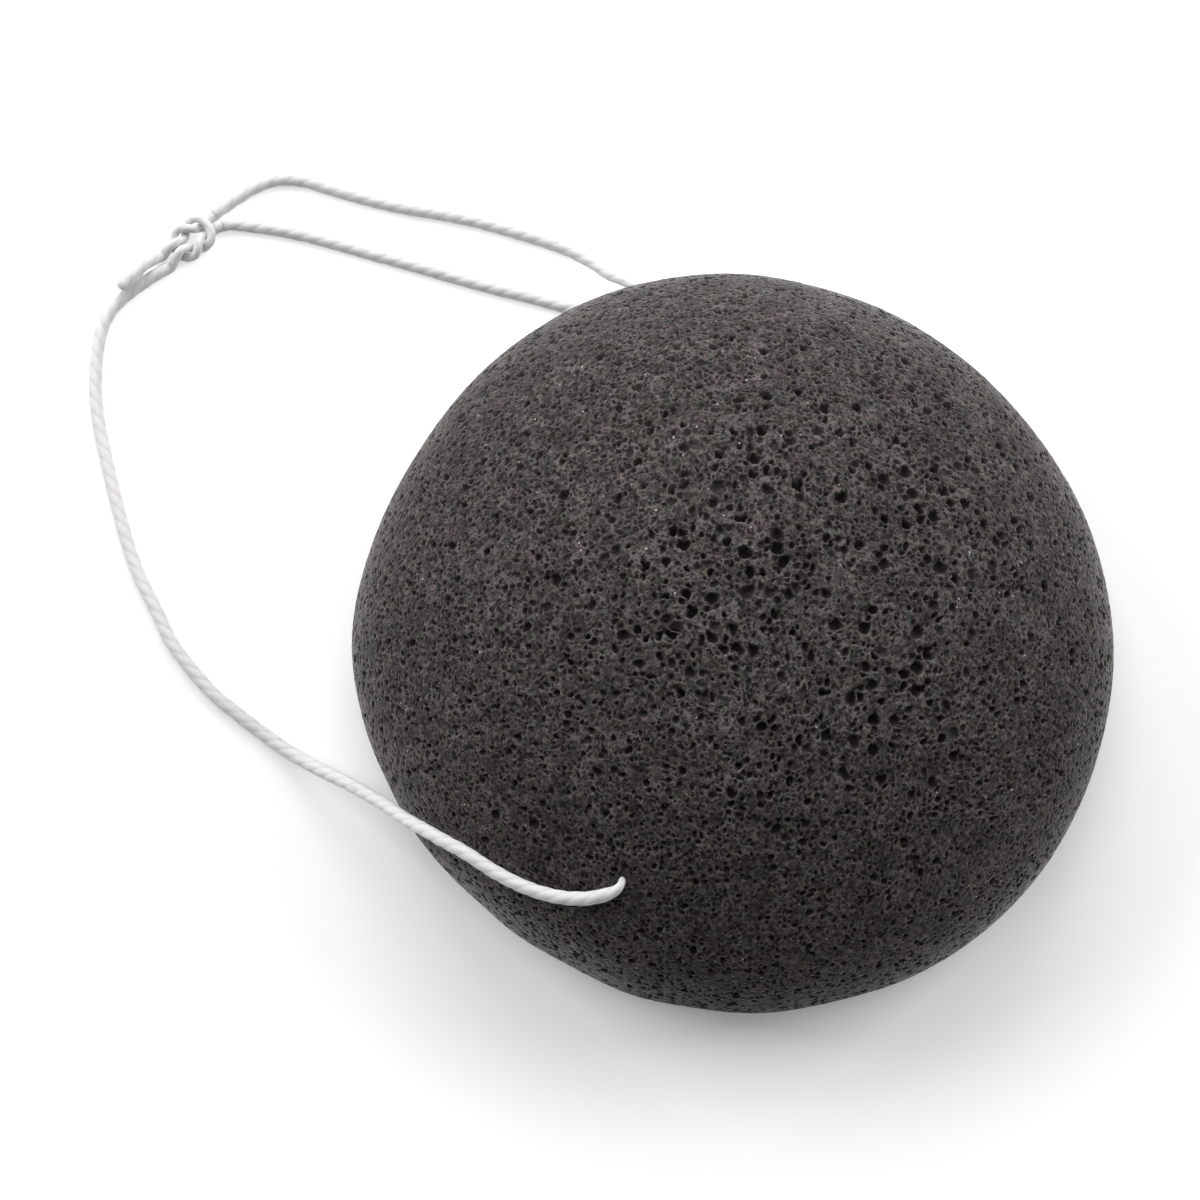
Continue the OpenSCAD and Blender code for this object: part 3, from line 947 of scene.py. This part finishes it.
def foam_material():
    """Charcoal foam: small and fine cells with painted shade in their middles and brighter webs between
    them, and deep pores with painted shade inside and brighter rims. The attribute edge_gap is the
    distance outside the nearest bubble's edge in millimetres, and sunk tells how deep that bubble's
    centre lies as a share of its radius."""
    material, tree, shader, where = new_material("konjac_foam", FOAM_SURFACE)
    wobble = add_node(tree, "ShaderNodeTexNoise",
                      {"Vector": where, "Scale": CELL_WOBBLES, "Detail": 1.0})
    centred = add_node(tree, "ShaderNodeVectorMath", {0: wobble.outputs["Color"], 1: (0.5, 0.5, 0.5)},
                       operation="SUBTRACT").outputs[0]
    shift = add_node(tree, "ShaderNodeVectorMath", {0: centred, "Scale": CELL_WANDER},
                     operation="SCALE").outputs[0]
    warped = add_node(tree, "ShaderNodeVectorMath", {0: where, 1: shift}, operation="ADD").outputs[0]
    # The cells' painted shade of small pores, which also gives the bumps their height
    small, small_edge = foam_cells(tree, warped, *SMALL_CELLS)
    fine, _ = foam_cells(tree, warped, *FINE_CELLS)
    hollow_shade = times(tree, small, fine)
    gap = add_node(tree, "ShaderNodeAttribute", attribute_name="edge_gap").outputs["Fac"]
    sunk = add_node(tree, "ShaderNodeAttribute", attribute_name="sunk").outputs["Fac"]
    # Painted shade inside the deep pores, stronger where the bubble's centre lies deeper
    pore_shade = times(tree, between(tree, gap, *PORE_EDGE), between(tree, sunk, *PORE_SUNK, *PORE_SHADE_SHARES))
    rim = times(tree, between(tree, gap, *RIM_OUTSIDE), between(tree, gap, *RIM_INSIDE),
                noise_value(tree, where, *RIM_PATCHES))
    web = times(tree, between(tree, small_edge, *WEB_EDGE), noise_value(tree, where, *WEB_PATCHES))
    colour = mixed(tree, noise_value(tree, where, *SKIN_PATCHES), FOAM_SKIN, FOAM_LIT)
    colour = mixed(tree, math_node(tree, "MAXIMUM", rim, web), colour, FOAM_WEB)
    tint = add_node(tree, "ShaderNodeTexNoise", {"Vector": where, "Scale": HUE_PATCHES, "Detail": 2.0})
    colour = mixed(tree, TINT_SHARE, colour, scaled_colour(tree, colour, tint.outputs["Color"]))
    colour = mixed(tree, foam_glints(tree, where), colour, FOAM_GLINT)
    # The painted shade of the small pores in the cells
    colour = scaled_colour(tree, colour, hollow_shade)
    # The painted shade inside the pores
    colour = mixed(tree, pore_shade, colour, FOAM_PORE_SHADE)
    colour = scaled_colour(tree, colour, mottle(tree, where, *COARSE_MOTTLE))
    colour = scaled_colour(tree, colour, mottle(tree, where, *FINE_MOTTLE))
    tree.links.new(colour, shader.inputs["Base Color"])
    add_relief(tree, shader, hollow_shade, FOAM_RELIEF)
    return material


# Colours of the cotton on its plies, and of the painted shade in the grooves between them
COTTON = (0.77, 0.76, 0.755, 1)
COTTON_GROOVE_SHADE = (0.69, 0.68, 0.675, 1)
# How deep in a groove, from 0 to 1, the painted shade of the second colour begins and is whole
GROOVE_SHADE = (0.3, 1.0)
# Light spreads in the loose cotton, evenly in all its colours, by the subsurface scale
COTTON_SURFACE = {"Roughness": 0.85, "Sheen Weight": 0.2, "Subsurface Weight": 0.7,
                  "Subsurface Radius": (1, 1, 1), "Subsurface Scale": 0.35 * MM}
COTTON_RELIEF = {"Strength": 0.4, "Distance": 0.03 * MM}
# Its fibres to the metre, and its mottle: patches to the metre and strength
COTTON_FIBRES = 5200
COTTON_MOTTLE = (900, 0.12)


def cotton_material():
    """Undyed cotton: white, with painted shade between the plies, and fine fibres. The attribute groove
    tells how deep between two plies a place is, from 0 to 1."""
    material, tree, shader, where = new_material("cotton_string", COTTON_SURFACE)
    groove = add_node(tree, "ShaderNodeAttribute", attribute_name="groove").outputs["Fac"]
    fibres = add_node(tree, "ShaderNodeTexNoise",
                      {"Vector": where, "Scale": COTTON_FIBRES, "Detail": 3.0})
    # Painted shade in the grooves between the plies
    colour = mixed(tree, between(tree, groove, *GROOVE_SHADE), COTTON, COTTON_GROOVE_SHADE)
    colour = scaled_colour(tree, colour, mottle(tree, where, *COTTON_MOTTLE))
    tree.links.new(colour, shader.inputs["Base Color"])
    add_relief(tree, shader, fibres.outputs["Fac"], COTTON_RELIEF)
    return material


foam, cotton = foam_material(), cotton_material()
sponge.data.materials.append(foam)
for piece, _ in STRING_PIECES + ((fuzz, ()),):
    piece.data.materials.append(cotton)
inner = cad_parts["string_inner"]
inner.data.materials.clear()
inner.data.materials.append(cotton)


# Floor and lights

FLOOR_HALF = 1.5
FLOOR_SURFACE = {"Base Color": (0.88, 0.88, 0.88, 1), "Roughness": 0.9, "Specular IOR Level": 0.0}
# Brightness added to the ground as the camera sees it, in front and behind, and where the first
# changes to the second
GROUND_LIFT = (0.24, 0.54)
LIFT_FROM = (26 * MM, 44 * MM)


def floor_material():
    """Pale ground that keeps the object's shadow. What the camera sees of it is lifted to white, and
    more so towards the windows behind."""
    material, tree, shader, where = new_material("pale_ground", FLOOR_SURFACE)
    from_camera = add_node(tree, "ShaderNodeLightPath").outputs["Is Camera Ray"]
    back = add_node(tree, "ShaderNodeSeparateXYZ", {"Vector": where}).outputs["Y"]
    lift = between(tree, back, *LIFT_FROM, *GROUND_LIFT)
    glow = add_node(tree, "ShaderNodeEmission", {"Color": (1, 1, 1, 1), "Strength": lift}).outputs[0]
    dark = add_node(tree, "ShaderNodeEmission", {"Strength": 0.0}).outputs[0]
    seen = add_node(tree, "ShaderNodeMixShader", {0: from_camera, 1: dark, 2: glow}).outputs[0]
    both = add_node(tree, "ShaderNodeAddShader", {0: shader.outputs[0], 1: seen}).outputs[0]
    tree.links.new(both, tree.nodes["Material Output"].inputs["Surface"])
    return material


def add_floor():
    """The ground at height 0."""
    corners = FLOOR_HALF * np.array([(-1, -1, 0), (1, -1, 0), (1, 1, 0), (-1, 1, 0)])
    floor = add_mesh("ground", corners, [np.array([[0, 1, 2, 3]])], flat=1)
    floor.data.materials.append(floor_material())


# The soft lamps: name, place, width and power
LAMPS = (
    ("window", (-0.1, 1.0, 0.8), 1.0, 11.2),
    ("window_left", (-1.1, 0.5, 0.8), 0.8, 12),
    ("window_right", (1.1, 0.5, 0.8), 0.8, 10.5),
    ("ceiling", (0.0, 0.15, 1.4), 1.0, 4.1),
)
LAMP_AIM = np.array([0, 0, 0.015])
WORLD_STRENGTH = 0.01


def add_lamp(name, place, size, power):
    """A square lamp that points at the sponge."""
    data = bpy.data.lights.new(name, "AREA")
    data.size = size
    data.energy = power
    lamp = bpy.data.objects.new(name, data)
    lamp.location = place
    aim = LAMP_AIM - np.array(place)
    lamp.rotation_euler = (
        math.acos(-aim[2] / np.linalg.norm(aim)), 0, math.atan2(aim[1], aim[0]) - math.pi / 2)
    bpy.context.scene.collection.objects.link(lamp)


def add_world():
    """A faint even light from all sides."""
    world = bpy.data.worlds.new("room")
    world.use_nodes = True
    world.node_tree.nodes["Background"].inputs["Color"].default_value = (1, 1, 1, 1)
    world.node_tree.nodes["Background"].inputs["Strength"].default_value = WORLD_STRENGTH
    bpy.context.scene.world = world


add_floor()
for lamp in LAMPS:
    add_lamp(*lamp)
add_world()
bpy.context.scene.view_settings.view_transform = "Standard"
